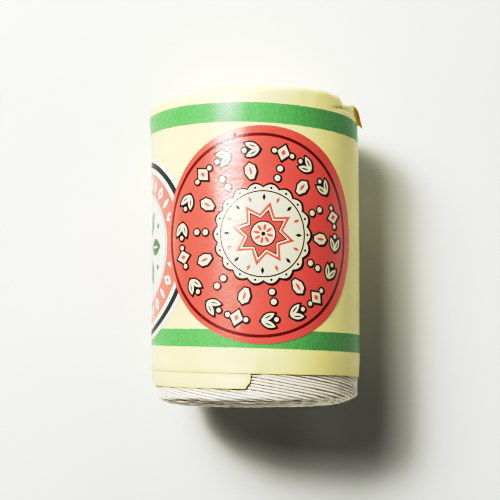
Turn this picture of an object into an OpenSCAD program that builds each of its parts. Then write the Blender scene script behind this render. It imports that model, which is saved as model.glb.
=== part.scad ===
// Cross-wound thread package on a paperboard tube, in a printed paper wrapper.
// The package lies on its side on a narrow flat pressed into the paper. Its
// axis runs along Y, the folded end of the wrapper points to +Y, the open end
// with the bare thread to -Y, and the round front ticket faces up (+Z).

/* [Core tube] */
// Bore of the core tube (diameter)
core_bore = 16; // [12:0.5:20]
// Wall of the core tube
core_wall = 1; // [0.8:0.1:1.6]
// How far the tube stands out of the winding at the open end
core_proud = 0.1; // [0:0.05:0.5]

/* [Thread winding] */
// Outside diameter of the thread winding
wind_d = 44.2; // [38:0.1:50]
// Length of the winding from rim to rim
wind_l = 62.2; // [50:0.1:75]
// Height of the dome on each end of the winding
dome_h = 2.3; // [1:0.1:4]
// Radius of the rounded rim at the open end
rim_r = 1.1; // [0.6:0.1:1.6]

/* [Paper wrapper] */
// Slack between the winding and the paper
paper_gap = 0.15; // [0.1:0.05:0.3]
// Thickness of the rolled paper, two layers
paper_t = 0.25; // [0.2:0.05:0.4]
// Bare thread between the wrapper's edge and the rim at the open end
bare_l = 4.85; // [2:0.05:12]
// How much lower the wrapper's edge is at the right than at the left
edge_skew = 1.8; // [0:0.1:3]
// How far the inner lap of the sheet shows below the outer edge
lap_show = 3; // [1:0.1:4]
// Angle over which the inner lap shows
lap_angle = 148; // [60:1:170]
// Thickness of the pleated paper on the folded end
fold_t = 0.3; // [0.2:0.05:0.6]
// Depth of the pleats tucked into the core
tuck_l = 8; // [4:0.5:12]
// Radius of the paper shoulder and of the rim under it, at the folded end
shoulder_r = 2; // [1:0.1:3]
// How far the paper is pressed flat along the line it lies on
rest_flat = 0.125; // [0:0.005:0.15]
// How far the folded corner stands off the side
ear_proud = 0.8; // [0.3:0.1:1.2]

/* [Tickets] */
// Radius of the round front ticket
front_r = 21.9; // [15:0.1:24]
// Turn of the front ticket round the package, from the top to the right
front_turn = 4.7; // [-20:0.1:20]
// Place of the front ticket along the package
front_y = 1.4; // [-3:0.1:4]
// Radius of the round side ticket
side_r = 19.6; // [12:0.1:22]
// Turn of the side ticket round the package, from the top to the right
side_turn = -83.2; // [-100:0.1:-80]
// Place of the side ticket along the package
side_y = 0.3; // [-3:0.1:4]
// Thickness of the ticket paper
ticket_t = 0.07; // [0.05:0.01:0.12]

/* [Hidden] */

core_ri = core_bore/2;
core_ro = core_ri + core_wall;
wind_r = wind_d/2;
wrap_ri = wind_r + paper_gap;
wrap_ro = wrap_ri + paper_t;

// Heights along the package's own axis, 0 at the middle of the whole part.
total_l = wind_l + 2*dome_h + core_proud + 0.1 + fold_t;
open_end = -total_l/2;
open_rim = open_end + core_proud + dome_h;
fold_rim = open_rim + wind_l;
fold_apex = fold_rim + dome_h;
tube_top = fold_apex;
paper_top = total_l/2;
edge_y = open_rim + bare_l;

// Dome height above the rim at a radius of the end face.
function dome(r) = dome_h*(1 - pow(max(0, r - core_ri)/(wind_r - core_ri), 2.5));

// One end of a package profile: from the core to the wall, with a round rim.
// ro is the wall's radius, ri the inner radius, lift the offset from the dome.
function end_profile(ro, ri, rf, lift) =
    let (r1 = ro - rf*(1 - sin(24)), z1 = dome(min(r1, wind_r)) + lift, zc = z1 - rf*cos(24))
    concat(
        [for (i = [0:14]) let (r = ri + (r1 - ri)*i/14) [r, dome(min(r, wind_r)) + lift]],
        [for (a = [36:12:84]) [ro - rf + rf*sin(a), zc + rf*cos(a)]],
        [[ro, zc]]);

// Puts a piece drawn along +Z into the part: +Z to +Y, and -Y to the top.
module lie() {
    translate([0, 0, wrap_ro - rest_flat]) rotate([-90, 0, 0]) children();
}

// Turns a piece drawn at the top (-Y) round the package towards the right.
module turned(a) {
    rotate([0, 0, a]) children();
}

// Prism whose outline is a circle of radius r laid round a drum of radius R.
module wrapped_round(r, R, y) {
    translate([0, 0, y]) rotate([90, 0, 0]) linear_extrude(height = R + 5)
        polygon([for (a = [0:5:355]) [R*sin(r*cos(a)/R*180/PI), r*sin(a)]]);
}

module shell(ri, ro, z0, z1) {
    difference() {
        translate([0, 0, z0]) cylinder(h = z1 - z0, r = ro, $fn = 180);
        translate([0, 0, z0 - 1]) cylinder(h = z1 - z0 + 2, r = ri, $fn = 180);
    }
}

module core_tube() {
    color([0.62, 0.54, 0.42])
    lie() rotate_extrude($fn = 120)
        translate([core_ri, open_end]) square([core_wall, tube_top - open_end]);
}

module thread_winding() {
    top = end_profile(wind_r, core_ro, shoulder_r, 0);
    low = end_profile(wind_r, core_ro, rim_r, 0);
    n = len(top);
    color([0.90, 0.88, 0.80])
    lie() rotate_extrude($fn = 180)
        polygon(concat(
            [for (p = top) [p[0], fold_rim + p[1]]],
            [for (i = [n-1:-1:0]) [low[i][0], open_rim - low[i][1]]]));
}

// The sheet: sleeve, shoulder, pleated end and tuck in one turned profile.
module wrapper_skin() {
    inner = end_profile(wrap_ri, core_ri + 0.2, shoulder_r, 0.1);
    outer = end_profile(wrap_ro, core_ri - 0.1, shoulder_r + 0.25, 0.1 + fold_t);
    tuck_ro = core_ri - 0.1;
    tuck_ri = core_ri - 0.2;
    n = len(inner);
    m = len(outer);
    rotate_extrude($fn = 180)
        polygon(concat(
            [[wrap_ri, edge_y - 4]],
            [for (i = [n-1:-1:0]) [inner[i][0], fold_rim + inner[i][1]]],
            [[tuck_ro, fold_apex + 0.05], [tuck_ro, fold_apex - tuck_l], [tuck_ri, fold_apex - tuck_l], [tuck_ri, fold_apex + 0.15]],
            [for (i = [0:m-1]) [outer[i][0], fold_rim + outer[i][1]]],
            [[wrap_ro, edge_y - 4]]));
}

// The corner of the sheet that stands off the side below the shoulder.
module ear() {
    turned(88)
    translate([-3.5, 0, fold_rim])
    rotate([90, 0, 90])
    linear_extrude(height = 6)
        polygon([[-wrap_ri - 0.08, -5.4], [-wrap_ri - 0.08, -1.4], [-wrap_ro + 0.03, -1.0],
                 [-wrap_ro - ear_proud, -4.3], [-wrap_ro - ear_proud + 0.15, -4.8]]);
}

module paper_wrapper() {
    color([0.95, 0.92, 0.72])
    lie() union() {
        difference() {
            wrapper_skin();
            translate([0, 0, edge_y]) rotate([0, atan(edge_skew/(2*wrap_ro)), 0])
                translate([-40, -40, -20]) cube([80, 80, 20]);
            if (rest_flat > 0)
                translate([-10, wrap_ro - rest_flat, -40]) cube([20, 5, 80]);
        }
        intersection() {
            rotate([0, 0, -92 - lap_angle])
                rotate_extrude(angle = lap_angle, $fn = 180)
                    translate([wrap_ri, edge_y - lap_show - 2]) square([paper_t/2, lap_show + 4]);
            translate([0, 0, edge_y - lap_show]) rotate([0, 1.2, 0])
                translate([-40, -40, 0]) cube([80, 80, 20]);
        }
        ear();
    }
}

module side_ticket() {
    color([0.93, 0.94, 0.92])
    lie() intersection() {
        shell(wrap_ro, wrap_ro + ticket_t, side_y - side_r - 1, side_y + side_r + 1);
        turned(side_turn) wrapped_round(side_r, wrap_ro, side_y);
    }
}

module front_ticket() {
    color([0.86, 0.27, 0.22])
    lie() difference() {
        intersection() {
            shell(wrap_ro, wrap_ro + 2*ticket_t, front_y - front_r - 1, front_y + front_r + 1);
            turned(front_turn) wrapped_round(front_r, wrap_ro, front_y);
        }
        intersection() {
            shell(wrap_ro - 0.2, wrap_ro + ticket_t, side_y - side_r - 1, side_y + side_r + 1);
            turned(side_turn) wrapped_round(side_r, wrap_ro, side_y);
        }
    }
}

core_tube();
thread_winding();
paper_wrapper();
side_ticket();
front_ticket();
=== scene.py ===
import bpy, math
import numpy as np
from mathutils import Vector, Matrix
from mathutils.geometry import delaunay_2d_cdt


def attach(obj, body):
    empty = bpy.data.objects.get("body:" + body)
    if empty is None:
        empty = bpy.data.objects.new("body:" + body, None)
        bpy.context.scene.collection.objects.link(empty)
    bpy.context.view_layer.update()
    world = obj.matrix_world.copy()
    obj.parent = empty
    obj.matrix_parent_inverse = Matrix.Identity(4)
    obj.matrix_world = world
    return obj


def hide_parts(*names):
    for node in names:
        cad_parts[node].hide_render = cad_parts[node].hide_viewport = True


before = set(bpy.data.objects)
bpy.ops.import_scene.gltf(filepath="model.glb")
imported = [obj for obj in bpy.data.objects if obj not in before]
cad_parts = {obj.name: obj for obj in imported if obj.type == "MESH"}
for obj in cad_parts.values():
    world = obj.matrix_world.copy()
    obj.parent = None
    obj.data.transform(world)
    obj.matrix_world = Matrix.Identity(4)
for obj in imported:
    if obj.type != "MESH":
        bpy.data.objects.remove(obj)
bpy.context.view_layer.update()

PI = math.pi
RNG = np.random.RandomState(35)

# ---------------------------------------------------------------- sizes, mm
R = 22.5            # outside of the paper
AXIS = 22.375       # height of the axis: the paper is pressed flat where it lies
WIND_R = 22.1       # outside of the winding
CORE_RI, CORE_RO = 8.0, 9.0
OPEN_END = -33.65   # cut end of the tube
OPEN_RIM = -31.25
FOLD_RIM = 30.95
DOME_H = 2.3
TUBE_TOP = 33.25
PAPER_T = 0.1

def dome(r):
    r = np.asarray(r, float)
    return DOME_H * (1 - (np.clip(r - CORE_RI, 0, None) / (WIND_R - CORE_RI)) ** 2.5)

def cyl(phi, y, r):
    """Package coordinates to the row frame: phi from the top to the right."""
    phi, y, r = np.broadcast_arrays(np.asarray(phi, float), np.asarray(y, float), np.asarray(r, float))
    return np.stack([r * np.sin(phi), y, AXIS + r * np.cos(phi)], -1)

def smooth(a, b, x):
    t = np.clip((np.asarray(x, float) - a) / (b - a), 0, 1)
    return t * t * (3 - 2 * t)

# ---------------------------------------------------------------- meshes
def build(name, V, F, mats, midx=None, sharp=None, uvs=None, attrs=None, body="package", replaces=None):
    me = bpy.data.meshes.new(name)
    V = np.asarray(V, float) * 0.001
    me.from_pydata(V.tolist(), [], F.tolist() if isinstance(F, np.ndarray) else F)
    for m in mats:
        me.materials.append(m)
    if midx is not None:
        me.polygons.foreach_set("material_index", np.asarray(midx, dtype=np.int32))
    me.polygons.foreach_set("use_smooth", np.ones(len(me.polygons), dtype=bool))
    for key, arr in (uvs or {}).items():
        lay = me.uv_layers.new(name=key)
        lay.data.foreach_set("uv", np.asarray(arr, dtype=np.float32).ravel())
    for key, arr in (attrs or {}).items():
        at = me.attributes.new(key, "FLOAT", "POINT")
        at.data.foreach_set("value", np.asarray(arr, dtype=np.float32).ravel())
    if sharp is not None:
        me.set_sharp_from_angle(angle=math.radians(sharp))
    me.validate()
    me.update()
    ob = bpy.data.objects.new(name, me)
    bpy.context.scene.collection.objects.link(ob)
    if body:
        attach(ob, body)
    if replaces:
        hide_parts(replaces)
    return ob

def thicken(V, F, N, t, midx, back):
    """Closed solid from an open sheet: V top points, F faces, N outward normals, t thickness."""
    n = len(V)
    t = np.broadcast_to(np.asarray(t, float), (n,))
    W = V - N * t[:, None]
    faces = [list(f) for f in F]
    allf = list(faces)
    allm = list(midx)
    count = {}
    for f in faces:
        for a, b in zip(f, f[1:] + f[:1]):
            count[(a, b)] = 1
    for f in faces:
        allf.append([v + n for v in reversed(f)])
        allm.append(back)
    for (a, b) in list(count):
        if (b, a) not in count:
            allf.append([b, a, a + n, b + n])
            allm.append(back)
    return np.vstack([V, W]), allf, allm

def grid_faces(nr, nc, off=0, closed=False):
    F = []
    for i in range(nr - 1):
        for j in range(nc if closed else nc - 1):
            k = (j + 1) % nc
            F.append([off + i * nc + j, off + i * nc + k, off + (i + 1) * nc + k, off + (i + 1) * nc + j])
    return F

def waves(seed, lo, hi, n, dims=2):
    r = np.random.RandomState(seed)
    d = r.normal(size=(n, dims))
    d /= np.linalg.norm(d, axis=1)[:, None]
    k = 2 * PI / np.exp(r.uniform(math.log(lo), math.log(hi), n))
    return d * k[:, None], r.uniform(0, 2 * PI, n)

def wave_sum(w, *x):
    k, p = w
    s = 0
    for i in range(len(p)):
        a = p[i]
        for j, q in enumerate(x):
            a = a + k[i, j] * q
        s = s + np.sin(a)
    return s / math.sqrt(len(p) / 2)

# ---------------------------------------------------------------- materials
class Mat:
    def __init__(self, name):
        self.m = bpy.data.materials.new(name)
        self.m.use_nodes = True
        self.t = self.m.node_tree
        self.t.nodes.clear()
        self.out = self.t.nodes.new("ShaderNodeOutputMaterial")
        self.b = self.t.nodes.new("ShaderNodeBsdfPrincipled")
        self.t.links.new(self.b.outputs[0], self.out.inputs[0])
        self._oc = None
    def link(self, a, b):
        self.t.links.new(a, b)
    def put(self, sock, v):
        if hasattr(v, "is_output") or isinstance(v, bpy.types.NodeSocket):
            self.link(v, sock)
        elif isinstance(v, (tuple, list)) and len(v) == 3 and sock.type == "RGBA":
            sock.default_value = (*v, 1.0)
        else:
            sock.default_value = v
    def node(self, kind, **props):
        n = self.t.nodes.new(kind)
        for k, v in props.items():
            setattr(n, k, v)
        return n
    def coord(self):
        if self._oc is None:
            self._oc = self.node("ShaderNodeTexCoord").outputs["Object"]
        return self._oc
    def math(self, op, a, b=0.0, c=0.0, clamp=False):
        n = self.node("ShaderNodeMath", operation=op, use_clamp=clamp)
        self.put(n.inputs[0], a); self.put(n.inputs[1], b)
        if len(n.inputs) > 2:
            self.put(n.inputs[2], c)
        return n.outputs[0]
    def vmath(self, op, a, b=(0, 0, 0)):
        n = self.node("ShaderNodeVectorMath", operation=op)
        self.put(n.inputs[0], a); self.put(n.inputs[1], b)
        return n.outputs[0]
    def noise(self, per_mm, detail=3.0, rough=0.5, vec=None, dist=0.0, stretch=None):
        """Noise with about per_mm features in a millimetre."""
        n = self.node("ShaderNodeTexNoise")
        v = vec or self.coord()
        if stretch:
            v = self.vmath("MULTIPLY", v, stretch)
        self.link(v, n.inputs["Vector"])
        n.inputs["Scale"].default_value = per_mm * 1000.0
        n.inputs["Detail"].default_value = detail
        n.inputs["Roughness"].default_value = rough
        n.inputs["Distortion"].default_value = dist
        return n.outputs[0]
    def ramp(self, x, lo, hi, a=0.0, b=1.0):
        n = self.node("ShaderNodeMapRange", clamp=True)
        self.put(n.inputs["Value"], x)
        for k, v in (("From Min", lo), ("From Max", hi), ("To Min", a), ("To Max", b)):
            self.put(n.inputs[k], v)
        return n.outputs[0]
    def mix(self, f, a, b, mode="MIX"):
        n = self.node("ShaderNodeMix", data_type="RGBA", blend_type=mode)
        n.clamp_factor = True
        self.put(n.inputs["Factor"], f)
        self.put(n.inputs["A"], a); self.put(n.inputs["B"], b)
        return n.outputs["Result"]
    def bump(self, h, strength, dist_mm, normal=None):
        n = self.node("ShaderNodeBump")
        n.inputs["Strength"].default_value = strength
        n.inputs["Distance"].default_value = dist_mm * 0.001
        self.put(n.inputs["Height"], h)
        if normal is not None:
            self.link(normal, n.inputs["Normal"])
        return n.outputs[0]
    def set(self, **kw):
        for k, v in kw.items():
            self.put(self.b.inputs[k.replace("_", " ")], v)

def c3(*c):
    return tuple(c)

def let_through(m, col, k):
    """Near the paper's free edges part of the light goes through it."""
    tr = m.node("ShaderNodeBsdfTranslucent")
    m.put(tr.inputs["Color"], col)
    mx = m.node("ShaderNodeMixShader")
    at = m.node("ShaderNodeAttribute", attribute_name="thin").outputs["Fac"]
    m.link(m.math("MULTIPLY", at, k), mx.inputs[0])
    m.link(m.b.outputs[0], mx.inputs[1]); m.link(tr.outputs[0], mx.inputs[2])
    m.link(mx.outputs[0], m.out.inputs[0])

def print_paper(name, base, tone=0.05, mottle=0.0, mottle_per_mm=2.6, dark=0.6, coat=0.5, rough=0.62, grain=1.0, coat_rough=0.2, coat_ior=1.32, through=0.0, ior=1.85, cockle=0.0):
    """Glazed paper: base is its colour or its ink's, mottle how unevenly the ink took."""
    m = Mat(name)
    big = m.noise(0.05, 3.0)
    fine = m.noise(1.1, 4.0, 0.6)
    col = m.mix(m.ramp(big, 0.3, 0.7), tuple(x * (1 + tone) for x in base), tuple(x * (1 - tone) * k for x, k in zip(base, (1.0, 0.985, 0.93))))
    col = m.mix(m.ramp(fine, 0.35, 0.75, 0.0, 0.55 * tone * 4), col, tuple(x * 0.9 for x in base))
    if mottle > 0:
        a = m.noise(mottle_per_mm, 2.0, 0.65)
        b = m.noise(mottle_per_mm * 2.4, 1.0, 0.5)
        k = m.math("ADD", m.math("MULTIPLY", a, 0.65), m.math("MULTIPLY", b, 0.35))
        col = m.mix(m.ramp(k, 0.42, 0.62, 0.0, mottle), col, tuple(x * dark for x in base))
        col = m.mix(m.ramp(k, 0.50, 0.36, 0.0, mottle * 0.7), col, tuple(min(1.0, x * 1.25 + 0.015) for x in base))
    m.set(Base_Color=col, Roughness=m.ramp(fine, 0.3, 0.7, rough - 0.05, rough + 0.06), IOR=ior)
    h1 = m.noise(2.2, 2.0, 0.55)
    h2 = m.noise(0.22, 2.0, 0.5)
    n = m.bump(h2, 0.25, 0.05)
    n = m.bump(h1, 0.30 * grain, 0.012, n)
    m.link(n, m.b.inputs["Normal"])
    m.b.inputs["Coat Weight"].default_value = coat
    m.b.inputs["Coat Roughness"].default_value = coat_rough
    m.b.inputs["Coat IOR"].default_value = coat_ior
    h3 = m.noise(4.6, 1.0, 0.5)
    nc = m.bump(h3, 0.42 * grain, 0.005, m.bump(h1, 0.30 * grain, 0.007, m.bump(h2, 0.22, 0.04)))
    if cockle:      # the glazed sheet is finely cockled
        nc = m.bump(m.noise(1.3, 3.0, 0.6, stretch=(0.8, 1.0, 0.8)), 1.0, cockle, nc)
    m.link(nc, m.b.inputs["Coat Normal"])
    if through:
        let_through(m, col, through)
    return m.m

CREAM = c3(0.93, 0.86, 0.475)
PAPER = print_paper("wrapper_cream", CREAM, through=0.12)
GREEN = print_paper("wrapper_green", c3(0.205, 0.475, 0.205), tone=0.04, mottle=0.5, dark=0.7, coat=0.6, ior=1.65)
def back_paper(name, base):
    m = Mat(name)
    fib = m.noise(1.6, 4.0, 0.65)
    big = m.noise(0.12, 3.0)
    col = m.mix(m.ramp(big, 0.3, 0.7), base, tuple(x * k for x, k in zip(base, (0.95, 0.92, 0.8))))
    col = m.mix(m.ramp(fib, 0.45, 0.75, 0.0, 0.35), col, tuple(x * k for x, k in zip(base, (0.88, 0.84, 0.72))))
    m.set(Base_Color=col, Roughness=0.78)
    m.link(m.bump(fib, 0.35, 0.02), m.b.inputs["Normal"])
    let_through(m, col, 0.6)
    return m.m
# the sheet's back is darker and deeper yellow than its face: painted shade for the shaded insides of folds, edges and
# the lap
PAPER_BACK_SHADED = back_paper("wrapper_back_painted_shade", c3(0.80, 0.69, 0.26))
def thin(name, base, k):
    """Paper with light behind it: part of the light goes through."""
    m = Mat(name)
    fib = m.noise(1.6, 4.0, 0.65)
    col = m.mix(m.ramp(fib, 0.4, 0.7, 0.0, 0.5), base, tuple(x * 0.93 for x in base))
    m.set(Base_Color=col, Roughness=0.62)
    m.link(m.bump(fib, 0.3, 0.015), m.b.inputs["Normal"])
    tr = m.node("ShaderNodeBsdfTranslucent")
    m.put(tr.inputs["Color"], col)
    mx = m.node("ShaderNodeMixShader")
    mx.inputs[0].default_value = k
    m.link(m.b.outputs[0], mx.inputs[1]); m.link(tr.outputs[0], mx.inputs[2])
    m.link(mx.outputs[0], m.out.inputs[0])
    return m.m
# the ear's copies of the paper: its back is brighter and yellower than the sheet's back, a painted ochre glow inside
# the fold
THIN = thin("wrapper_corner", c3(0.93, 0.84, 0.44), 0.5)
THIN_BACK_PAINTED_GLOW = thin("wrapper_corner_back_painted_glow", c3(0.93, 0.84, 0.33), 0.5)

# ---------------------------------------------------------------- the sheet of paper
PHI_A = math.radians(-149)      # outer end of the sheet
PHI_B = PHI_A + 2 * PI          # where the sheet goes under itself
PHI_E = 2 * PI - 0.031          # inner end of the sheet, under the front
W1 = waves(11, 9, 34, 14)
W2 = waves(12, 3, 8, 12)

WK = [waves(20 + i, 1.3, 7, 9, 1) for i in range(4)]
def uneven(i, p):
    return 0.018 * wave_sum(WK[i], R * p)
def g_edge(p):
    return -26.45 - 0.513 * p + 0.09 * np.clip(p - 4.7, 0, None) ** 2 - 0.28 * smooth(0.9, 1.5, p) * smooth(3.0, 2.2, p)
def g_b2(p):
    return -21.46 - 0.52 * p - 0.12 * np.tanh(p) + uneven(0, p)
def g_b1(p):
    return -17.78 - 0.49 * p + uneven(1, p)
def top_band(p):
    u = R * p
    s = 25 * np.tanh(u / 25)
    return 24.2 - 0.52 * p - 0.0204 * s - 0.0004 * s * s
def g_t2(p):
    return top_band(p) - np.interp(p, [-1.2, -0.93, -0.75, -0.35, 0.0, 0.52, 0.87, 1.4], [0.80, 0.77, 0.72, 0.53, 0.42, 0.38, 0.28, 0.12]) + uneven(2, p)
def g_t1(p):
    return top_band(p) + 3.86 - np.interp(p, [-1.2, -0.93, -0.61, -0.35, 0.0, 0.52, 0.87], [0.85, 0.70, 0.45, 0.42, 0.18, 0.08, -0.03]) + uneven(3, p)
SHOULDER = 29.66

def slack(phi, v):
    """How far the paper stands off its true radius: soft waves."""
    q = np.mod(phi + PI, 2 * PI) - PI
    x = R * np.sin(q) * 1.0
    z = R * np.cos(q)
    k, p = W1
    s = 0
    for i in range(len(p)):
        s = s + np.sin(k[i, 0] * (x + 0.6 * z) + k[i, 1] * v + p[i])
    return 0.022 * s / math.sqrt(len(p) / 2)

def left_side(phi):
    q = np.mod(np.asarray(phi, float) + PI, 2 * PI) - PI
    d = np.mod(q + math.radians(95) + PI, 2 * PI) - PI
    return np.exp(-(d / math.radians(36)) ** 2)

def lean(phi, v):
    """The left side leans in a little towards the open end, where the winding is slack."""
    q = np.mod(np.asarray(phi, float) + PI, 2 * PI) - PI
    right = np.exp(-((q - math.radians(88)) / math.radians(30)) ** 2)
    return left_side(phi) * (0.38 * smooth(23.5, 28.5, v) - 0.46 * smooth(29, 6, v)) + 0.22 * right * smooth(28.5, 22, v) * (1 - 0.4 * smooth(5, -10, v)) * smooth(-29.5, -26, v)

def paper_r(phi, v):
    """Radius of the outer turn's outside."""
    q = np.mod(np.asarray(phi, float) + PI, 2 * PI) - PI
    lift = np.exp(-np.clip(v - g_edge(phi), 0, None) / 1.1) * (0.03 + 0.03 * np.sin(3.1 * phi + 0.6) + 0.07 * smooth(-0.5, -0.02, q) * smooth(0.10, -0.02, q))
    down = np.degrees(np.mod(phi, 2 * PI))
    tight = 0.20 * np.exp(-(np.clip(v - g_edge(phi), 0, None) / 2.4) ** 2) * smooth(0.5, 5, down) * smooth(209, 203, down)
    return R - 0.03 + slack(phi, v) + lift + lean(phi, v) - pinch(phi, v) - tight

DENT_X = [-23, -21.3, -20.4, -19, -17.8, -16.4, -15, -12.5, -10, -8.6, -2, 0, 14.5, 16.0, 17.1, 17.65, 18.05, 18.35, 18.75, 19.6, 20.6, 21.5, 22.5]
DENT_Y = [0.1, 0.42, 0.85, 1.18, 1.25, 1.05, 0.96, 0.86, 0.76, 0.56, 0.44, 0.22, 0.13, 0.30, 0.50, 0.80, 1.20, 1.66, 1.80, 1.50, 0.85, 0.10, 0.0]
def dent(x, z):
    """How far the upper half of the folded end is pushed in, by its place across the package."""
    kept = smooth(20.6, 19.4, np.hypot(x, z)) * smooth(18.45, 18.10, x) * smooth(9, 12, x)     # a pleat that stands
    return np.interp(x, DENT_X, DENT_Y) * smooth(-3, 5, z) * (1 - kept)

def pressed(V):
    """The winding under the paper, pushed in where the paper is."""
    V = np.array(V, float)
    z = V[..., 2] - AXIS
    ph = np.arctan2(V[..., 0], z)
    rr = np.hypot(V[..., 0], z)
    y = V[..., 1].copy()
    V[..., 1] -= dent(V[..., 0], z) * smooth(26.5, 29.5, y) * smooth(7.0, 12.0, rr)
    r2 = rr - (pinch(ph, y) + 0.05 * (y > 26)) * smooth(14, 21, rr) - left_side(ph) * 0.062 * np.clip(rr - 8, 0, None) * smooth(-27.5, -31.0, y)
    V[..., 0] = r2 * np.sin(ph); V[..., 2] = AXIS + r2 * np.cos(ph)
    return V

def pinch(phi, y):
    """The right corner is caved in below a crease, beside the loose ear."""
    a = np.degrees(np.mod(phi + PI, 2 * PI) - PI)
    line = np.interp(a, [44, 47, 51, 54, 57, 60], [28.25, 28.32, 28.6, 29.6, 30.4, 30.4])
    d = y - line
    step = np.where(d < 0.06, np.exp(np.clip(d, None, 0) / 0.55), np.exp(-(np.clip(d, 0, None) - 0.06) / 0.10))
    groove = 0.34 * step * smooth(44, 50, a) * smooth(64, 56, a)
    cave = 0.38 * smooth(54, 70, a) * smooth(112, 92, a) * smooth(26.6, 29.4, y)
    return groove + cave

# pleats of the folded end
NP = 23
gaps = RNG.uniform(0.6, 1.5, NP)
edges = PHI_A + 2 * PI * np.concatenate([[0], np.cumsum(gaps) / gaps.sum()])
pleat_shift = RNG.uniform(-0.16, 0.30, NP + 1); pleat_shift[-1] = pleat_shift[0]
pleat_high = RNG.uniform(0.55, 1.15, NP)
FR = np.array([0, .015, .04, .08, .14, .22, .32, .42, .52, .62, .72, .82, .90, .96, .99])

def end_base(w, ra=2.1, straight=0.0):
    """Profile of the folded end by length w from the shoulder: r and y, for a shoulder radius ra."""
    w = np.asarray(w, float) - straight
    arc = ra * math.radians(68)
    r1 = R - ra * (1 - math.cos(math.radians(68)))
    y1 = SHOULDER + straight + ra * math.sin(math.radians(68))
    r_in = 8.35
    # dome stretch, by radius
    rr = np.linspace(r1, r_in, 200)
    yy = FOLD_RIM + dome(np.minimum(rr, WIND_R)) + 0.26
    yy += (y1 - yy[0]) * np.exp(-(r1 - rr) / 1.2)
    seg = np.concatenate([[0], np.cumsum(np.hypot(np.diff(rr), np.diff(yy)))])
    L2 = seg[-1]
    lip = 0.55
    L3 = lip * PI / 2
    a = w < arc
    t = np.clip(w / ra, 0, None)
    r = np.where(a, R - ra * (1 - np.cos(t)), 0); y = np.where(a, SHOULDER + straight + ra * np.sin(t) + np.minimum(w, 0), 0)
    b = (~a) & (w < arc + L2)
    r = np.where(b, np.interp(w - arc, seg, rr), r); y = np.where(b, np.interp(w - arc, seg, yy), y)
    c = (~a) & (~b) & (w < arc + L2 + L3)
    t = (w - arc - L2) / lip
    r = np.where(c, r_in - lip * np.sin(t), r); y = np.where(c, yy[-1] - lip * (1 - np.cos(t)), y)
    d = w >= arc + L2 + L3
    r = np.where(d, r_in - lip, r); y = np.where(d, yy[-1] - lip - (w - arc - L2 - L3), y)
    return r, y, (arc, L2, L3)

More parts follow.
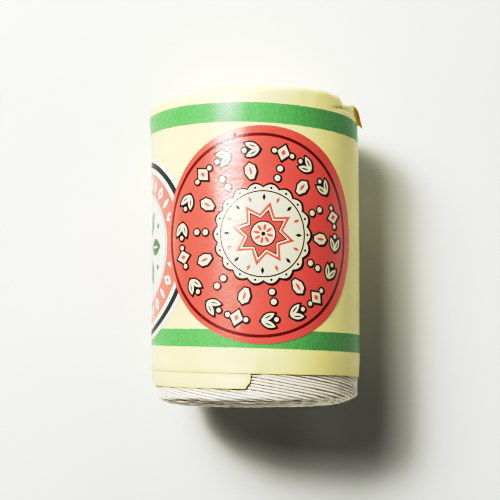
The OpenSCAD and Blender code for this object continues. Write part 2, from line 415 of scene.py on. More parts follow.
def make_sheet():
    cols = []
    pk = []; fr = []
    for k in range(NP):
        for f in FR:
            cols.append(edges[k] + f * (edges[k + 1] - edges[k])); pk.append(k); fr.append(f)
    cols.append(edges[-1]); pk.append(NP - 1); fr.append(1.0)
    cols = np.array(cols); pk = np.array(pk); fr = np.array(fr)
    nc = len(cols)
    # side rows, between printed edges
    def rows(p):
        out = []
        mats = []
        G = [(g_edge, g_b2, 9, 0), (g_b2, g_b1, 5, 1), (g_b1, g_t2, 44, 0), (g_t2, g_t1, 5, 1)]
        for a, b, n, m in G:
            A, B = a(p), b(p)
            for i in range(n):
                t = i / n
                if a is g_edge:
                    t = t ** 1.35
                out.append(A + (B - A) * t); mats.append(m)
        A = g_t1(p)
        for i in range(8):
            out.append(A + (SHOULDER - A) * i / 8); mats.append(0)
        out.append(np.full_like(p, SHOULDER))
        return np.array(out), mats
    Yr, rm = rows(cols)
    nr1 = len(Yr)
    P1 = np.broadcast_to(cols, Yr.shape)
    rad = paper_r(P1, Yr)
    # the shoulder is pulled into soft flats between the pleats
    q = (FOLD_RIM - Yr)
    flat = np.sin(PI * fr) * pleat_high[pk]
    rad = rad - 0.10 * flat * np.exp(-np.clip(SHOULDER - Yr, 0, None) / 1.6)
    V = [cyl(P1, Yr, rad).reshape(-1, 3)]
    # end rows
    _, _, (arc, L2, L3) = end_base(np.array([0.0]))
    def stations(arc, L2, L3, st):
        return np.concatenate([np.linspace(0, arc + st, 15)[1:], arc + st + np.linspace(0, L2, 30)[1:], arc + st + L2 + np.linspace(0, L3, 6)[1:], arc + st + L2 + L3 + np.linspace(0, 7.0, 9)[1:]])
    def shape(ra, st):
        a_, l2, l3 = end_base(np.array([0.0]), ra, st)[2]
        q = stations(a_, l2, l3, st)
        r_, y_, _ = end_base(q, ra, st)
        e = 0.01
        ra_, ya_, _ = end_base(q - e, ra, st); rb_, yb_, _ = end_base(q + e, ra, st)
        tr, ty = rb_ - ra_, yb_ - ya_
        tn = np.hypot(tr, ty)
        return q, r_, y_, ty / tn, -tr / tn     # outward: +r on the shoulder, +y on the dome, -r in the bore
    ws, r0, y0, nr_, ny_ = shape(2.1, 0.0)
    _, r9, y9, nr9, ny9 = shape(1.05, 0.95)
    qc = np.mod(cols + PI, 2 * PI) - PI
    # the left corner and the right shoulder are folded sharper
    hard = 0.58 * np.exp(-((qc + math.radians(86)) / math.radians(20)) ** 2) + 0.85 * np.exp(-((qc - math.radians(36)) / math.radians(36)) ** 2)
    grow = smooth(0, arc * 1.6, ws)
    inward = np.clip((R - r0) / 14.0, 0, 1)
    k0 = edges[pk]; 
    E = []
    for i, w in enumerate(ws):
        s = inward[i]
        left = pleat_shift[pk] * s; right = pleat_shift[(pk + 1)] * s
        p = cols + left * (1 - fr) + right * fr
        amp = (0.10 + 0.30 * s) * grow[i] * pleat_high[pk]
        saw = (1 - fr) ** 0.8 * (1 - 0.35 * np.exp(-fr / 0.02))
        h = amp * saw
        h = h + 0.05 * grow[i] * wave_sum(W2, r0[i] * np.sin(p), r0[i] * np.cos(p) + w) * 0.6
        ri_ = r0[i] + (r9[i] - r0[i]) * hard; yi_ = y0[i] + (y9[i] - y0[i]) * hard
        nri = nr_[i] + (nr9[i] - nr_[i]) * hard; nyi = ny_[i] + (ny9[i] - ny_[i]) * hard
        r = ri_ + nri * h
        y = yi_ + nyi * h
        r = r - 0.10 * flat * math.exp(-w / 1.6) + (lean(p, y) + slack(p, np.full_like(p, SHOULDER)) - 0.03) * math.exp(-(w / 3.5) ** 2) - pinch(p, y) * math.exp(-(w / 2.2) ** 2)
        E.append(cyl(p, y, r))
    V.append(np.array(E).reshape(-1, 3))
    V = np.vstack(V)
    z = V[:, 2] - AXIS
    ph = np.arctan2(V[:, 0], z)
    rr = np.hypot(V[:, 0], z)
    V[:, 1] -= dent(V[:, 0], z) * smooth(g_t1(ph) + 0.15, 30.5, V[:, 1]) * smooth(7.0, 12.0, rr)
    nrows = nr1 + len(ws)
    F = grid_faces(nrows, nc)
    midx = []
    for i in range(nrows - 1):
        m = rm[i] if i < nr1 - 1 else 0
        midx += [m] * (nc - 1)
    # the turn that goes under: from the last column on
    pe = np.linspace(PHI_B, PHI_E, 190)[1:]
    pe = np.concatenate([pe[:-1], PHI_E - np.array([0.02, 0.012, 0.006, 0.0])])
    pe = np.unique(pe)
    Y2, _ = rows(pe)
    P2 = np.broadcast_to(pe, Y2.shape)
    under = 0.135
    rad2 = R - 0.03 + slack(P2, Y2) - under + lean(P2, Y2)
    # lap edge stands off a little, its free corner most
    ev = g_edge(pe)
    d_edge = Y2 - ev
    d_end = R * (PHI_E - P2)
    seen = 1 - smooth(1.4, 2.9, d_edge)
    up_end = smooth(11, 0, d_end)
    rad2 = rad2 - 0.08 * np.exp(-(d_edge / 1.3) ** 2) + (0.05 + 0.20 * smooth(2.8, 0, d_edge)) * up_end * (1 - smooth(2.7, 3.6, d_edge)) - 0.50 * left_side(P2) * smooth(-26.6, -29.8, Y2)
    rad2 = rad2 + 0.05 * seen * np.exp(-d_edge / 0.8) * np.sin(5.3 * P2 + 1.0)
    # its corner is cut off, and its end slants
    P2 = P2 - smooth(PHI_E - 0.30, PHI_E, P2) * np.interp(d_edge, [0, 0.5, 1.15, 1.3, 3.0], [0.050, 0.040, 0.010, 0.008, 0.0])
    base = len(V)
    thin1 = np.zeros((nrows, nc)); thin1[:nr1] = np.exp(-((Yr - g_edge(P1)) / 0.6) ** 2)
    thin2 = np.maximum(np.exp(-(d_edge / 0.6) ** 2), np.exp(-(d_end / 0.8) ** 2))
    V2 = cyl(P2, Y2, rad2)
    n2 = len(pe)
    V = np.vstack([V, V2.reshape(-1, 3)])
    def idx(i, j):
        return i * nc + nc - 1 if j < 0 else base + i * n2 + j
    for i in range(nr1 - 1):
        for j in range(-1, n2 - 1):
            F.append([idx(i, j), idx(i, j + 1), idx(i + 1, j + 1), idx(i + 1, j)])
            midx.append(rm[i])
    # outward normals from the faces
    N = np.zeros_like(V)
    Fa = np.array(F)
    d1 = V[Fa[:, 2]] - V[Fa[:, 0]]; d2 = V[Fa[:, 3]] - V[Fa[:, 1]]
    fn = np.cross(d1, d2)
    for c in range(4):
        np.add.at(N, Fa[:, c], fn)
    N /= np.maximum(np.linalg.norm(N, axis=1), 1e-12)[:, None]
    out = V - np.array([0, 0, AXIS]); out[:, 1] = 0
    sgn = np.sign((N[:nc] * out[:nc]).sum())
    if sgn < 0:
        N = -N; F = [f[::-1] for f in F]
    VV, FF, MM = thicken(V, F, N, PAPER_T, midx, 2)
    VV[:, 2] = np.maximum(VV[:, 2], np.where(np.arange(len(VV)) < len(V), 0.0, 0.09))
    thin_ = np.concatenate([thin1.ravel(), thin2.ravel()])
    return build("paper_wrapper_sheet", VV, FF, [PAPER, GREEN, PAPER_BACK_SHADED], MM, sharp=50, attrs={"thin": np.concatenate([thin_, thin_])}, body="wrapper", replaces="paper_wrapper")

def make_ear():
    """The loose corner of the sheet: folded over the shoulder on the right, standing off the side."""
    n = 22
    Fp = (math.radians(77.0), 30.9); Bp = (math.radians(112), 30.5); Tp = (math.radians(86.0), 26.2)
    Vs, idx = [], {}
    for i in range(n + 1):
        for j in range(n + 1 - i):
            a = i / n; b = j / n; c = 1 - a - b          # a towards the tip, b towards the back
            phi = Fp[0] * c + Tp[0] * a + Bp[0] * b
            y = Fp[1] * c + Tp[1] * a + Bp[1] * b
            # stands off more the nearer to the tip, and curls
            off = 0.02 + 1.16 * a ** 1.05 - 0.55 * b * a
            off += 0.10 * math.sin(PI * min(1, a * 1.1)) * (c - b)
            y += 0.16 * math.sin(PI * a) * c
            over = smooth(0.28, 0.0, a)                  # rolls over the shoulder
            r = R - 0.10 + off - 0.55 * float(over)
            idx[i, j] = len(Vs)
            Vs.append(cyl(phi, y - 0.10 * float(over) * 0, r))
    V = np.array(Vs)
    Fc = []
    for i in range(n):
        for j in range(n - i):
            Fc.append([idx[i, j], idx[i + 1, j], idx[i, j + 1]])
            if j < n - i - 1:
                Fc.append([idx[i + 1, j], idx[i + 1, j + 1], idx[i, j + 1]])
    Fa = np.array(Fc)
    nn = np.cross(V[Fa[:, 1]] - V[Fa[:, 0]], V[Fa[:, 2]] - V[Fa[:, 0]])
    out = V[Fa[:, 0]] * (1, 0, 1) - (0, 0, AXIS)
    if (nn * out).sum() < 0:
        Fc = [f[::-1] for f in Fc]; nn = -nn
    N = np.zeros_like(V)
    for c in range(3):
        np.add.at(N, Fa[:, c], nn)
    N /= np.linalg.norm(N, axis=1)[:, None]
    VV, FF, MM = thicken(V, Fc, N, PAPER_T, [0] * len(Fc), 1)
    return build("paper_wrapper_ear", VV, FF, [THIN, THIN_BACK_PAINTED_GLOW], MM, sharp=50, body="wrapper")

# ---------------------------------------------------------------- thread
def tubes(P, Nrm, ra, rb, sides, tone=None):
    """Tubes along P (S, n, 3) in mm with outward directions Nrm; ra, rb radii outward and across."""
    S, n, _ = P.shape
    T = np.gradient(P, axis=1)
    T /= np.linalg.norm(T, axis=2)[..., None]
    B = np.cross(T, Nrm); B /= np.linalg.norm(B, axis=2)[..., None]
    N = np.cross(B, T)
    th = np.arange(sides) * 2 * PI / sides
    ra = np.broadcast_to(ra, (S, n)); rb = np.broadcast_to(rb, (S, n))
    V = P[:, :, None, :] + (ra[..., None] * np.cos(th))[..., None] * N[:, :, None, :] + (rb[..., None] * np.sin(th))[..., None] * B[:, :, None, :]
    i = np.arange(S)[:, None, None] * n * sides + np.arange(n - 1)[None, :, None] * sides
    j = np.arange(sides)[None, None, :]
    k = (j + 1) % sides
    F = np.stack([i + j, i + k, i + sides + k, i + sides + j], -1).reshape(-1, 4)
    L = np.concatenate([np.zeros((S, 1)), np.cumsum(np.linalg.norm(np.diff(P, axis=1), axis=2), 1)], 1)
    # per-loop maps: along in mm and round in turns, and a strip atlas for baking
    ii = np.arange(n - 1)
    a0 = L[:, :-1, None] * np.ones((1, 1, sides)); a1 = L[:, 1:, None] * np.ones((1, 1, sides))
    b0 = np.broadcast_to(j / sides, a0.shape); b1 = b0 + 1 / sides
    strand = np.stack([np.stack([a0, b0], -1), np.stack([a0, b1], -1), np.stack([a1, b1], -1), np.stack([a1, b0], -1)], -2)
    return V.reshape(-1, 3), F, strand, L

def atlas(strand, L, cols):
    """Lays every strand in its own strip of the unit square, cols strips beside each other."""
    S = strand.shape[0]
    rows = -(-S // cols)
    u = strand[..., 0] / (L[:, -1][:, None, None, None] * 1.0)
    v = strand[..., 1]
    s = np.arange(S)
    cu = (s % cols)[:, None, None, None]; rv = (s // cols)[:, None, None, None]
    U = (cu + 0.02 + 0.96 * u) / cols
    W = (rv + 0.04 + 0.92 * v) / rows
    return np.stack([U, W], -1)

def caps(S, n, sides):
    F = []
    for s in range(S):
        a = s * n * sides
        F.append([a + k for k in range(sides)][::-1])
        b = a + (n - 1) * sides
        F.append([b + k for k in range(sides)])
    return F

def strands_object(name, P, Nrm, ra, rb, sides, cols, mat, tone_seed, replaces=None):
    V, F, strand, L = tubes(P, Nrm, ra, rb, sides)
    S, n, _ = P.shape
    at = atlas(strand, L, cols)
    Fl = F.tolist()
    cp = caps(S, n, sides)
    st = strand.reshape(-1, 2); at = at.reshape(-1, 2)
    extra = np.zeros((len(cp) * sides, 2))
    capa = np.repeat(at.reshape(S, -1, 2)[:, 0, :], 2 * sides, axis=0)
    tone = np.repeat(np.random.RandomState(tone_seed).normal(size=S), n * sides)
    # order: OFBake is the atlas, strand the twist map
    return build(name, V, Fl + cp, [mat], uvs={"OFBake": np.vstack([at, capa]), "strand": np.vstack([st, extra])}, attrs={"tone": tone}, replaces=replaces)

def thread_mat():
    m = Mat("waxed_linen_thread")
    uv = m.node("ShaderNodeUVMap", uv_map="strand").outputs[0]
    sep = m.node("ShaderNodeSeparateXYZ"); m.link(uv, sep.inputs[0])
    tone = m.node("ShaderNodeAttribute", attribute_name="tone").outputs["Fac"]
    along, rnd = sep.outputs[0], sep.outputs[1]
    # three cords laid together, one turn in 2.6 mm
    ph = m.math("ADD", m.math("MULTIPLY", along, 3 / 2.6), m.math("MULTIPLY", rnd, 3.0))
    ply = m.math("ABSOLUTE", m.math("SINE", m.math("MULTIPLY", ph, PI)))
    ply = m.math("POWER", ply, 0.6)
    fine = m.math("SINE", m.math("MULTIPLY", m.math("ADD", m.math("MULTIPLY", along, 9.0), m.math("MULTIPLY", rnd, -6.0)), 2 * PI))
    nz = m.noise(3.5, 3.0, 0.6)
    slub = m.noise(0.5, 2.0)
    base = c3(0.95, 0.93, 0.86)
    col = m.mix(m.ramp(slub, 0.3, 0.7), base, tuple(x * k for x, k in zip(base, (0.97, 0.95, 0.90))))
    # darker in the grooves between the laid cords: painted shade
    col = m.mix(m.ramp(ply, 0.0, 0.55, 0.45, 0.0), col, tuple(x * k for x, k in zip(base, (0.86, 0.79, 0.66))))
    col = m.mix(m.ramp(nz, 0.5, 0.75, 0.0, 0.30), col, tuple(x * k for x, k in zip(base, (0.86, 0.81, 0.70))))
    col = m.mix(m.ramp(tone, -1.8, 1.8, 0.0, 0.22), col, tuple(x * k for x, k in zip(base, (0.92, 0.88, 0.79))))
    # the sides and back of each run are browner: painted shade where the runs shade each other in the gaps
    face = m.math("COSINE", m.math("MULTIPLY", rnd, 2 * PI))
    col = m.mix(m.ramp(face, 0.55, -0.2, 0.0, 0.85), col, tuple(x * k for x, k in zip(base, (0.80, 0.66, 0.43))))
    m.set(Base_Color=col, Roughness=0.52, IOR=1.45)
    m.b.inputs["Sheen Weight"].default_value = 0.12
    m.b.inputs["Sheen Roughness"].default_value = 0.4
    h = m.math("ADD", m.math("MULTIPLY", ply, 1.0), m.math("MULTIPLY", fine, 0.12))
    n = m.bump(h, 0.5, 0.07)
    n = m.bump(nz, 0.4, 0.03, n)
    m.link(n, m.b.inputs["Normal"])
    return m.m

def make_thread():
    mat = thread_mat()
    NT = 40
    delta = math.radians(9.0)
    Phi = math.radians(904.5)
    top, bot = FOLD_RIM - 0.45, OPEN_RIM - 0.14
    c = (top - bot) / Phi
    n = 2 * 300 + 1
    x = np.linspace(0, 2 * Phi, n)
    eps = 0.05
    r = np.random.RandomState(5)
    P = []; Nn = []
    dx = x[1] - x[0]
    ker = np.exp(-0.5 * (np.arange(-6, 7) * dx / 0.030) ** 2); ker /= ker.sum()
    for k in range(NT):
        jt, jb = r.normal(0, 0.018, 2)
        kt, kb = r.normal(0, 0.10, 2)
        # sharp triangle, rounded at both reversals
        d = np.abs(x - Phi)
        yb = bot + jb + c * (np.sqrt(d ** 2 + eps ** 2) - eps)
        dt = np.minimum(x, 2 * Phi - x)
        yt = top + jt - c * (np.sqrt(dt ** 2 + eps ** 2) - eps)
        y = np.where(d < Phi / 2, yb, yt)
        blend = smooth(0.35, 0.65, d / Phi)
        y = yb * (1 - blend) + yt * blend
        y = y + kb * np.exp(-(d / 0.10) ** 2) + kt * np.exp(-(dt / 0.10) ** 2)
        wob = waves(100 + k, 6, 40, 5, 1)
        ph = k * delta + x + math.radians(0.15) * r.normal()
        y = y + 0.020 * wave_sum(wob, x * R)
        other = np.mod(k + 2 * (x - Phi) / delta, NT)
        s = np.where(k > other, 1.0, -1.0)
        s = np.convolve(np.pad(s, 6, mode="edge"), ker, mode="valid")
        rim = np.minimum(y - OPEN_RIM, FOLD_RIM - y)
        rad = WIND_R - 0.30 - 0.21 * (1 - s) - np.where(y < 0, 0.16, 0.75) * np.exp(-np.clip(rim, 0, None) / np.where(y < 0, 0.25, 0.45))
        rad = rad + 0.010 * wave_sum(waves(300 + k, 3, 18, 5, 1), x * R)
        rad = rad + lean(ph, y) - 0.35 * left_side(ph) * smooth(-26.6, -30.0, y)
        P.append(pressed(cyl(ph, y, rad)))
        Nn.append(np.stack([np.sin(ph), np.zeros(n), np.cos(ph)], -1))
    P = np.array(P); Nn = np.array(Nn)
    th = 0.27 * (1 + 0.03 * np.random.RandomState(8).normal(size=(NT, 1)))
    wv = np.array([wave_sum(waves(500 + k, 1.5, 9, 7, 1), x * R) for k in range(NT)])
    ra = th * (1 + 0.03 * wv); rb = th * (1 + 0.03 * wv)
    strands_object("thread_outer_turns", P, Nn, ra, rb, 8, 1, mat, 21, replaces="thread_winding")
    # reversals of the layers below, which make the domed ends
    for sgn, rim, name in ((-1, OPEN_RIM, "thread_end_open"), (1, FOLD_RIM, "thread_end_folded")):
        rr = np.linspace(9.55, 20.80, 14)
        Pl = []; Nl = []; RA = []
        rl = np.random.RandomState(40 + sgn)
        m = 25
        for li, rk in enumerate(rr):
            nl = NT - 2 if rk > 12 else 34
            off = rl.uniform(0, 2 * PI)
            half = min(0.52, 5.2 / rk + 0.12)
            d = np.linspace(-1, 1, m); d = half * np.sign(d) * np.abs(d) ** 1.25
            for q in range(nl):
                p0 = off + 2 * PI * (q + 0.22 * rl.normal()) / nl
                pk_ = 0.16 * rl.normal()
                ep = 0.09 + 0.03 * rl.rand()
                cc = c * (1 + 0.12 * rl.normal())
                dep = cc * (np.sqrt(d ** 2 + ep ** 2) - ep)
                y = rim + sgn * (dome(rk) - 0.30 + 0.5 * pk_ * 0.6 - dep) - (sgn < 0) * (0.42 * smooth(12.5, 18.5, rk) - 0.22 * smooth(19.6, 20.8, rk))
                rad = rk + 0.08 * rl.normal() - 0.30 * np.tanh(d / 0.13) - 0.75 * smooth(0.35, 1.0, np.abs(d) / half) * smooth(18.5, 20.7, rk)
                ph = p0 + d
                Pl.append(pressed(cyl(ph, y, rad)))
                # outward of the face: mostly along the axis
                Nl.append(np.stack([0.35 * np.sin(ph), np.full(m, sgn * 0.94), 0.35 * np.cos(ph)], -1))
                RA.append(0.265 * (1 + 0.06 * rl.normal()) * np.ones(m))
        Pl = np.array(Pl); Nl = np.array(Nl); RA = np.array(RA)
        strands_object(name, Pl, Nl, RA, RA * 1.06, 7, 18, mat, 60 + sgn)
    # the imported thread below, seen only in the gaps: a dark brown copy of the thread, painted shade for the deep gaps
    prof = []
    rs = np.linspace(CORE_RO, WIND_R - 1.5, 24)
    up = [(q, FOLD_RIM + float(dome(q)) - 0.75) for q in rs] + [(WIND_R - 1.0, FOLD_RIM - 0.9), (WIND_R - 0.92, FOLD_RIM - 1.6)]
    dn = [(q, OPEN_RIM - float(dome(q)) + 0.75) for q in rs] + [(WIND_R - 1.0, OPEN_RIM + 0.9), (WIND_R - 0.92, OPEN_RIM + 1.6)]
    side = [(WIND_R - 0.92, y) for y in np.linspace(FOLD_RIM - 2.5, OPEN_RIM + 2.5, 40)]
    inner = [(CORE_RO, y) for y in np.linspace(OPEN_RIM - float(dome(CORE_RO)) + 0.75, FOLD_RIM + float(dome(CORE_RO)) - 0.75, 12)[1:-1]]
    prof = up + side + dn[::-1] + inner
    prof = np.array(prof)
    nphi = 180
    ph = np.arange(nphi) * 2 * PI / nphi
    V = pressed(cyl(ph[None, :], prof[:, 1][:, None], prof[:, 0][:, None] + lean(ph[None, :], prof[:, 1][:, None]))).reshape(-1, 3)
    npf = len(prof)
    F = []
    for i in range(npf):
        a = i * nphi; b = ((i + 1) % npf) * nphi
        for j in range(nphi):
            k = (j + 1) % nphi
            F.append([a + j, b + j, b + k, a + k])
    mb = Mat("packed_thread_painted_shade")
    ang = mb.coord()
    nz = mb.noise(1.6, 4.0, 0.6, stretch=(1, 1, 1))
    base = c3(0.70, 0.57, 0.37)
    mb.set(Base_Color=mb.mix(mb.ramp(nz, 0.35, 0.7), base, tuple(x * 0.75 for x in base)), Roughness=0.8)
    mb.link(mb.bump(nz, 0.6, 0.15), mb.b.inputs["Normal"])
    build("thread_packed", V, F, [mb.m], sharp=60)

# ---------------------------------------------------------------- tube
def make_core():
    m = Mat("paperboard")
    fib = m.noise(1.2, 5.0, 0.65)
    speck = m.noise(3.8, 2.0, 0.5)
    base = c3(0.42, 0.31, 0.19)
    col = m.mix(m.ramp(fib, 0.35, 0.7), base, tuple(x * 0.78 for x in base))
    col = m.mix(m.ramp(speck, 0.62, 0.72, 0.0, 0.5), col, c3(0.20, 0.14, 0.09))
    m.set(Base_Color=col, Roughness=0.82)
    m.link(m.bump(fib, 0.4, 0.04), m.b.inputs["Normal"])
    nphi = 144
    ys = np.linspace(OPEN_END, TUBE_TOP, 121)
    ph = np.arange(nphi) * 2 * PI / nphi
    def seam(p, y, lead, w, d):
        t = np.mod(p / (2 * PI) - y / lead, 1.0)
        t = np.minimum(t, 1 - t) * 2 * PI * 8.0
        return d * np.exp(-(t / w) ** 2)
    rings = []
    P, Y = np.meshgrid(ph, ys)
    rin = CORE_RI + seam(P, Y, 27.0, 0.30, 0.10)
    rout = CORE_RO - 0.01 - seam(P + 1.3, Y, 27.0, 0.35, 0.12)
    # rows: inner surface from open end to top, end ring, outer surface back, end ring
    r = np.random.RandomState(9)
    def ring_end(y, s):
        out = []
        for f in (0.08, 0.30, 0.36, 0.62, 0.68, 0.92):
            ridge = 0.05 if f in (0.30, 0.62) else 0.0
            yy = y - s * (0.03 + ridge) + s * 0.02 * wave_sum(waves(int(f * 100), 1.2, 6, 6, 1), ph * 8.5)
            out.append(cyl(ph, yy, CORE_RI + f * (CORE_RO - CORE_RI)))
        return out
    rings += [cyl(ph, y - (0.0), rin[i]) for i, y in enumerate(ys)]
    rings[0] = cyl(ph, ys[0] + 0.09, rin[0]); rings[len(ys) - 1] = cyl(ph, ys[-1] - 0.09, rin[-1])
    rings += ring_end(TUBE_TOP, 1)
    rings += [cyl(ph, y, rout[i]) for i, y in reversed(list(enumerate(ys)))]
    rings[len(ys) + 6] = cyl(ph, ys[-1] - 0.09, rout[-1]); rings[-1] = cyl(ph, ys[0] + 0.09, rout[0])
    rings += ring_end(OPEN_END, -1)[::-1]
    V = np.array(rings).reshape(-1, 3)
    nr = len(rings)
    F = []
    for i in range(nr):
        a = i * nphi; b = ((i + 1) % nr) * nphi
        for j in range(nphi):
            k = (j + 1) % nphi
            F.append([a + j, a + k, b + k, b + j])
    build("core_tube_board", V, F, [m.m], sharp=50, replaces="core_tube")

# ---------------------------------------------------------------- tickets
def ring(r, n=144, cx=0.0, cy=0.0):
    a = np.arange(n) * 2 * PI / n
    return [(cx + r * math.cos(t), cy + r * math.sin(t)) for t in a]

def place(pts, x, y, turn):
    c, s = math.cos(turn), math.sin(turn)
    return [(x + c * a - s * b, y + s * a + c * b) for a, b in pts]

def leaf(l, w, n=12):
    up = [(-l / 2 + l * i / n, w / 2 * math.sin(PI * i / n) ** 0.85) for i in range(n + 1)]
    return up + [(x, -y) for x, y in up[-2:0:-1]]

def lozenge(l, w, b=0.12):
    return [(-l / 2, 0), (-l * b, w / 2), (l * b, w / 2), (l / 2, 0), (l * b, -w / 2), (-l * b, -w / 2)]

def star(n, ro, ri, t0=0.0):
    return [((ro if i % 2 == 0 else ri) * math.cos(t0 + PI * i / n), (ro if i % 2 == 0 else ri) * math.sin(t0 + PI * i / n)) for i in range(2 * n)]

def scallop(n, r, a, t0=0.0, per=10):
    out = []
    for i in range(n * per):
        t = 2 * PI * i / (n * per)
        out.append(((r + a * abs(math.sin(n * t / 2))) * math.cos(t + t0), (r + a * abs(math.sin(n * t / 2))) * math.sin(t + t0)))
    return out

def grow(pts, d):
    """Outline moved outwards by d, for a convex-ish motif given anticlockwise or not."""
    n = len(pts)
    area = sum(pts[i][0] * pts[(i + 1) % n][1] - pts[(i + 1) % n][0] * pts[i][1] for i in range(n))
    s = 1 if area > 0 else -1
    out = []
    for i in range(n):
        a, b, c = pts[i - 1], pts[i], pts[(i + 1) % n]
        e1 = np.array([b[1] - a[1], a[0] - b[0]]) * s; e2 = np.array([c[1] - b[1], b[0] - c[0]]) * s
        e1 = e1 / max(np.linalg.norm(e1), 1e-9); e2 = e2 / max(np.linalg.norm(e2), 1e-9)
        m = e1 + e2
        k = np.linalg.norm(m)
        m = m / max(k, 1e-9)
        out.append((b[0] + m[0] * d / max(k / 2, 0.55), b[1] + m[1] * d / max(k / 2, 0.55)))
    return out

def arrange(outline, layers, spacing=0.9):
    """Flat arrangement of filled shapes, painted in order: points, triangles, and the top shape of each."""
    verts = []; faces = []
    def add(pts):
        i = len(verts)
        if sum(p[0] * q[1] - q[0] * p[1] for p, q in zip(pts, pts[1:] + pts[:1])) < 0:
            pts = pts[::-1]
        verts.extend(pts)
        faces.append(list(range(i, i + len(pts))))
    add(outline)
    for pts, _ in layers:
        add(pts)
    o = np.array(outline)
    lo, hi = o.min(0), o.max(0)
    k = 0
    for y in np.arange(lo[1], hi[1], spacing):
        k += 1
        for x in np.arange(lo[0] + (0.5 * spacing if k % 2 else 0), hi[0], spacing):
            if math.hypot(x - o[:, 0].mean(), y - o[:, 1].mean()) < (hi[0] - lo[0]) / 2 - 0.35:
                verts.append((x, y))
    co, ed, fa, ov, oe, of = delaunay_2d_cdt([Vector(v) for v in verts], [], faces, 0, 1e-5, True)
    top = []
    keep = []
    for f, src in zip(fa, of):
        if 0 not in src:
            continue
        m = max(src)
        keep.append(list(f)); top.append(0 if m == 0 else m)
    return np.array([(v.x, v.y) for v in co]), keep, top

def ticket(name, node, turn_phi, y_c, rot, r_out, layers, inks, base_ink, lift_fn, spacing=0.9):
    outline = ring(r_out, 200)
    V2, F, top = arrange(outline, layers, spacing)
    mats = [inks[base_ink]]; names = [base_ink]
    for _, ink in layers:
        if ink not in names:
            names.append(ink); mats.append(inks[ink])
    names.append("back"); mats.append(inks["back"])
    midx = [0 if t == 0 else names.index(layers[t - 1][1]) for t in top]
    c, s = math.cos(rot), math.sin(rot)
    u = V2[:, 0] * c - V2[:, 1] * s; v = V2[:, 0] * s + V2[:, 1] * c
    phi = turn_phi + u / R; y = y_c + v
    rad = paper_r(phi, y) + lift_fn(phi, y)
    V = cyl(phi, y, rad)
    N = np.stack([np.sin(phi), np.zeros_like(phi), np.cos(phi)], -1)
    # triangles face outwards
    Fa = np.array(F)
    nn = np.cross(V[Fa[:, 1]] - V[Fa[:, 0]], V[Fa[:, 2]] - V[Fa[:, 0]])
    flip = (nn * N[Fa[:, 0]]).sum(1) < 0
    F = [f[::-1] if q else f for f, q in zip(F, flip)]
    used = sorted({i for f in F for i in f}); remap = {a: b for b, a in enumerate(used)}
    F = [[remap[i] for i in f] for f in F]; V = V[used]; N = N[used]
    VV, FF, MM = thicken(V, F, N, 0.06, midx, len(mats) - 1)
    return build(name, VV, FF, mats, MM, sharp=40, body="wrapper", replaces=node)

F_PHI, F_Y, F_R = math.radians(4.45), 1.28, 21.9
S_PHI, S_Y, S_R = math.radians(-83.2), -0.1, 19.6

def side_cover(phi, y):
    d = np.hypot(R * (phi - S_PHI), y - S_Y)
    return 1 - smooth(S_R - 0.1, S_R + 0.9, d)

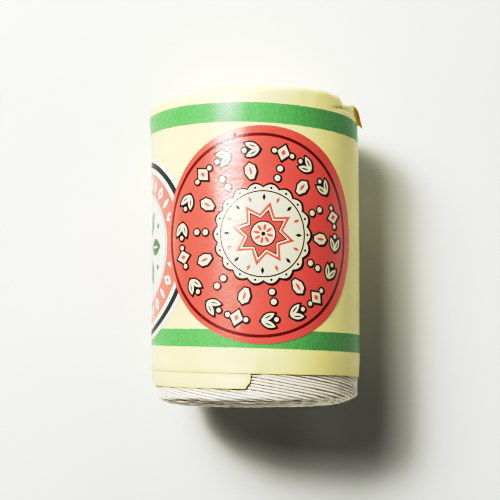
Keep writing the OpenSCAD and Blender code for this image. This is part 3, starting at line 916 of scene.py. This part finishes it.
def make_tickets():
    red = print_paper("ticket_red", c3(0.82, 0.215, 0.178), tone=0.04, mottle=0.16, mottle_per_mm=3.2, dark=0.8, coat=1.0, coat_rough=0.24, coat_ior=1.8, ior=1.4, cockle=0.035)
    cream = print_paper("ticket_cream", c3(0.85, 0.83, 0.65), tone=0.04, coat=1.0, coat_rough=0.24, coat_ior=1.8, ior=1.4, cockle=0.035)
    black = print_paper("ticket_black", c3(0.045, 0.010, 0.008), tone=0.05, mottle=0.25, dark=0.6, coat=1.0, coat_rough=0.24, coat_ior=1.8, ior=1.4, cockle=0.035)
    line_ink = print_paper("ticket_line", c3(0.24, 0.006, 0.005), tone=0.05, mottle=0.45, dark=0.5, coat=1.0, coat_rough=0.24, coat_ior=1.8, ior=1.4, cockle=0.035)
    white = print_paper("ticket_white", c3(0.86, 0.87, 0.81), tone=0.03, coat=1.0, coat_rough=0.24, coat_ior=1.8, ior=1.4, cockle=0.035)
    grey = print_paper("ticket_dark", c3(0.030, 0.034, 0.030), tone=0.05, mottle=0.3)
    sgreen = print_paper("ticket_green", c3(0.10, 0.22, 0.10), tone=0.05, mottle=0.35)
    edge = back_paper("ticket_back", c3(0.66, 0.60, 0.44))
    # ---- front: red disc, off-centre black line, closed garland, ring of petals, round medallion
    L = []
    ox, oy = -0.62, -0.05
    SH = (0.13, -0.15)
    def group(shapes, ink="cream", line=0.30):
        for pts in shapes:
            L.append(([(x + SH[0], y + SH[1]) for x, y in grow(pts, line)], "black"))
        for pts in shapes:
            L.append((grow(pts, line), "black"))
        for pts in shapes:
            L.append((pts, ink))
    L.append((ring(20.50, 200, ox, oy), "line"))
    L.append((ring(19.90, 200, ox, oy), "red"))
    nm = 18
    for i in range(nm):
        t = 2 * PI * i / nm + 0.07
        r0 = 17.2
        q = 2 * PI / nm
        def at(dt, dr=0.0):
            return ox + (r0 + dr) * math.cos(t + dt), oy + (r0 + dr) * math.sin(t + dt)
        shapes = []
        x, y = at(0.0)
        if i % 3 == 0:
            shapes.append(place(lozenge(3.3, 2.5, 0.05), x, y, t))
            for s_ in (-1, 1):
                shapes.append(place(ring(0.50, 14), *at(s_ * 0.112), 0))
            group(shapes)
            L.append((place(lozenge(1.35, 0.95, 0.05), x, y, t), "red"))
        else:
            for s_ in (-1, 1):
                shapes.append(place(leaf(3.1, 1.3), *at(0.02, s_ * 0.72), t + PI / 2 - s_ * 0.42))
            shapes.append(place(ring(0.48, 14), *at(0.118), 0))
            group(shapes)
            for s_ in (-1, 1):
                L.append((place(leaf(1.7, 0.24, 6), *at(0.02, s_ * 0.74), t + PI / 2 - s_ * 0.42), "black"))
    npet = 14
    for i in range(npet):
        t = 2 * PI * (i + 0.5) / npet
        x, y = ox * 0.5 + 12.75 * math.cos(t), 12.75 * math.sin(t)
        if i % 2:
            group([place([(-1.55, 0.42), (-0.2, 1.15), (1.0, 1.0), (1.75, 0), (1.0, -1.0), (-0.2, -1.15), (-1.55, -0.42)], x, y, t)])
            L.append((place(leaf(1.9, 0.55, 8), x + 0.1 * math.cos(t), y + 0.1 * math.sin(t), t), "red"))
        else:
            group([place(ring(0.62, 18), x + dr * math.cos(t), y + dr * math.sin(t), 0) for dr in (-1.05, 0.95)], line=0.26)
    # medallion
    L.append(([(x + SH[0], y + SH[1]) for x, y in scallop(18, 9.62, 0.80)], "black"))
    L.append((scallop(18, 9.60, 0.80), "black"))
    L.append((scallop(18, 9.26, 0.76), "cream"))
    L.append((ring(8.72, 120), "black")); L.append((ring(8.48, 120), "cream"))
    for i in range(18):
        t = 2 * PI * (i + 0.5) / 18
        L.append((ring(0.24, 10, 9.33 * math.cos(t), 9.33 * math.sin(t)), "black"))
    for i in range(16):
        t = 2 * PI * (i + 0.5) / 16
        L.append((place(lozenge(1.5, 0.62, 0.05), 7.35 * math.cos(t), 7.35 * math.sin(t), t), "black" if i % 2 else "red"))
    L.append((star(8, 6.55, 4.05, PI / 8), "red"))
    L.append((star(8, 5.55, 3.55, PI / 8), "cream"))
    L.append((star(8, 4.95, 3.2, PI / 8), "black"))
    L.append((star(8, 4.60, 3.0, PI / 8), "red"))
    L.append((ring(2.62, 48), "black")); L.append((ring(2.38, 48), "cream"))
    for i in range(8):
        t = 2 * PI * (i + 0.5) / 8
        L.append((place(leaf(1.5, 0.62, 8), 1.35 * math.cos(t), 1.35 * math.sin(t), t), "red"))
    L.append((ring(0.42, 16), "black"))
    inks = {"red": red, "cream": cream, "black": black, "line": line_ink, "back": edge}
    ticket("front_ticket_paper", "front_ticket", F_PHI, F_Y, math.radians(10), F_R, L, inks, "red",
           lambda p, y: 0.07 + 0.066 * side_cover(p, y))
    # ---- side: white rim, dark ring, red ring with plain motifs, white field with a green wheel
    L = []
    L.append((ring(18.57, 180), "dark")); L.append((ring(17.33, 180), "white"))
    L.append((ring(16.28, 180), "red")); L.append((ring(11.73, 144), "white"))
    L.append((ring(11.35, 144), "dark")); L.append((ring(11.2, 144), "white"))
    ns = 26
    for i in range(ns):
        t = 2 * PI * i / ns + 0.04
        x, y = 14.0 * math.cos(t), 14.0 * math.sin(t)
        if i % 2 == 0:
            L.append((place(lozenge(3.1, 1.9, 0.10), x, y, t), "white"))
            L.append((place(lozenge(1.2, 0.7, 0.10), x, y, t), "red"))
        else:
            L.append((place(leaf(2.9, 1.0, 10), x, y, t), "white"))
    for i in range(6):
        t = 2 * PI * i / 6 + 0.10
        L.append((place(leaf(6.0, 3.6, 16), 5.9 * math.cos(t), 5.9 * math.sin(t), t), "green"))
        L.append((place(leaf(3.6, 0.4, 8), 5.9 * math.cos(t), 5.9 * math.sin(t), t), "white"))
        L.append((ring(0.6, 14, 8.6 * math.cos(t + PI / 6), 8.6 * math.sin(t + PI / 6)), "green"))
    L.append((ring(2.1, 40), "green")); L.append((ring(1.5, 36), "white")); L.append((ring(0.7, 20), "green"))
    inks = {"red": red, "white": white, "dark": grey, "green": sgreen, "back": edge}
    ticket("side_ticket_paper", "side_ticket", S_PHI, S_Y, math.radians(-6), S_R, L, inks, "white", lambda p, y: 0.068 + 0 * p)

make_sheet()
make_ear()
make_core()
make_thread()
make_tickets()

# ---------------------------------------------------------------- floor, light, camera
def plain(name, color, rough):
    m = Mat(name)
    nz = m.noise(0.02, 3.0)
    m.set(Base_Color=m.mix(m.ramp(nz, 0.3, 0.7), color, tuple(x * 0.985 for x in color)), Roughness=rough)
    m.link(m.bump(m.noise(1.2, 3.0), 0.06, 0.02), m.b.inputs["Normal"])
    return m.m

n = 24
V = []; F = []
g = np.linspace(-900, 900, n)
for j in g:
    for i in g:
        V.append((i, j, 0.0))
F = grid_faces(n, n)
floor = build("floor", V, F, [plain("table_white", c3(0.832, 0.838, 0.795), 0.6)], body=None)

def area(name, direction, dist, sx, sy, power, color=(1, 1, 1), target=(0, 0, 0.0225), along_y=False):
    d = bpy.data.lights.new(name, "AREA")
    d.shape = "RECTANGLE"; d.size = sx; d.size_y = sy; d.energy = power; d.color = color
    o = bpy.data.objects.new(name, d)
    v = Vector(direction).normalized()
    o.location = Vector(target) + v * dist
    if along_y:
        ay = (Vector((0, 1, 0)) - v * v.y).normalized()
        o.rotation_euler = Matrix((ay.cross(v), ay, v)).transposed().to_euler()
    else:
        o.rotation_euler = v.to_track_quat("Z", "Y").to_euler()
    bpy.context.scene.collection.objects.link(o)
    return o

def sky(az, el):
    a, e = math.radians(az), math.radians(el)
    return (math.cos(e) * math.cos(a), math.cos(e) * math.sin(a), math.sin(e))

# a soft box to the upper left with its edges along the package, and weak light from the room
area("key_box", (-0.434, 0.38, 0.817), 0.75, 0.375, 0.29, 4.18, along_y=True)
area("key_core", (-0.450, 0.355, 0.819), 0.74, 0.11, 0.11, 1.35, along_y=True)
area("fill_low", sky(-90, 3), 1.2, 1.00, 0.11, 1.9)
area("fill_back", sky(105, 20), 1.2, 0.60, 0.50, 3.0)
area("fill_corner", sky(68, 26), 1.2, 0.50, 0.30, 1.9)
area("fill_side", sky(-48, 8), 1.2, 0.60, 0.22, 2.4)
w = bpy.data.worlds.new("room"); bpy.context.scene.world = w
w.use_nodes = True
w.node_tree.nodes["Background"].inputs[0].default_value = (0.80, 0.81, 0.78, 1)
w.node_tree.nodes["Background"].inputs[1].default_value = 1.0
for ray in ("diffuse", "glossy", "transmission", "scatter"):
    setattr(w.cycles_visibility, ray, False)

# camera: the fitted view, distances in package radii
D_, F_, X0_, TAU = 12.235, 1272.6, -0.04, -0.0889
cd = bpy.data.cameras.new("camera")
cd.sensor_fit = "HORIZONTAL"; cd.sensor_width = 36.0; cd.lens = F_ / 500 * 36.0
cd.clip_start = 0.01; cd.clip_end = 10
cam = bpy.data.objects.new("camera", cd)
bpy.context.scene.collection.objects.link(cam)
# axes of the camera in the row frame: right, up, back
cs, sn = math.cos(TAU), math.sin(TAU)
right = Vector((1, 0, 0)); up = Vector((0, cs, -sn)); back = Vector((0, sn, cs))
M = Matrix((right, up, back)).transposed().to_4x4()
loc = Vector((X0_, 0, 0)) * 0.0225 + back * D_ * 0.0225 + Vector((0, 0, 0.0225))
M.translation = loc
cam.matrix_world = M
bpy.context.scene.camera = cam
vs = bpy.context.scene.view_settings
vs.view_transform = "Standard"
# the photographer's contrast curve
vs.use_curve_mapping = True
tone = vs.curve_mapping.curves[3]
GRADE = [(0, 0), (0.05, 0.017), (0.10, 0.042), (0.15, 0.079), (0.20, 0.136), (0.25, 0.214), (0.30, 0.311), (0.35, 0.417), (0.40, 0.517),
         (0.50, 0.669), (0.60, 0.768), (0.70, 0.834), (0.80, 0.886), (0.90, 0.940), (1.0, 1.0)]
for px, py in GRADE[1:-1]:
    tone.points.new(px, py)
vs.curve_mapping.update()
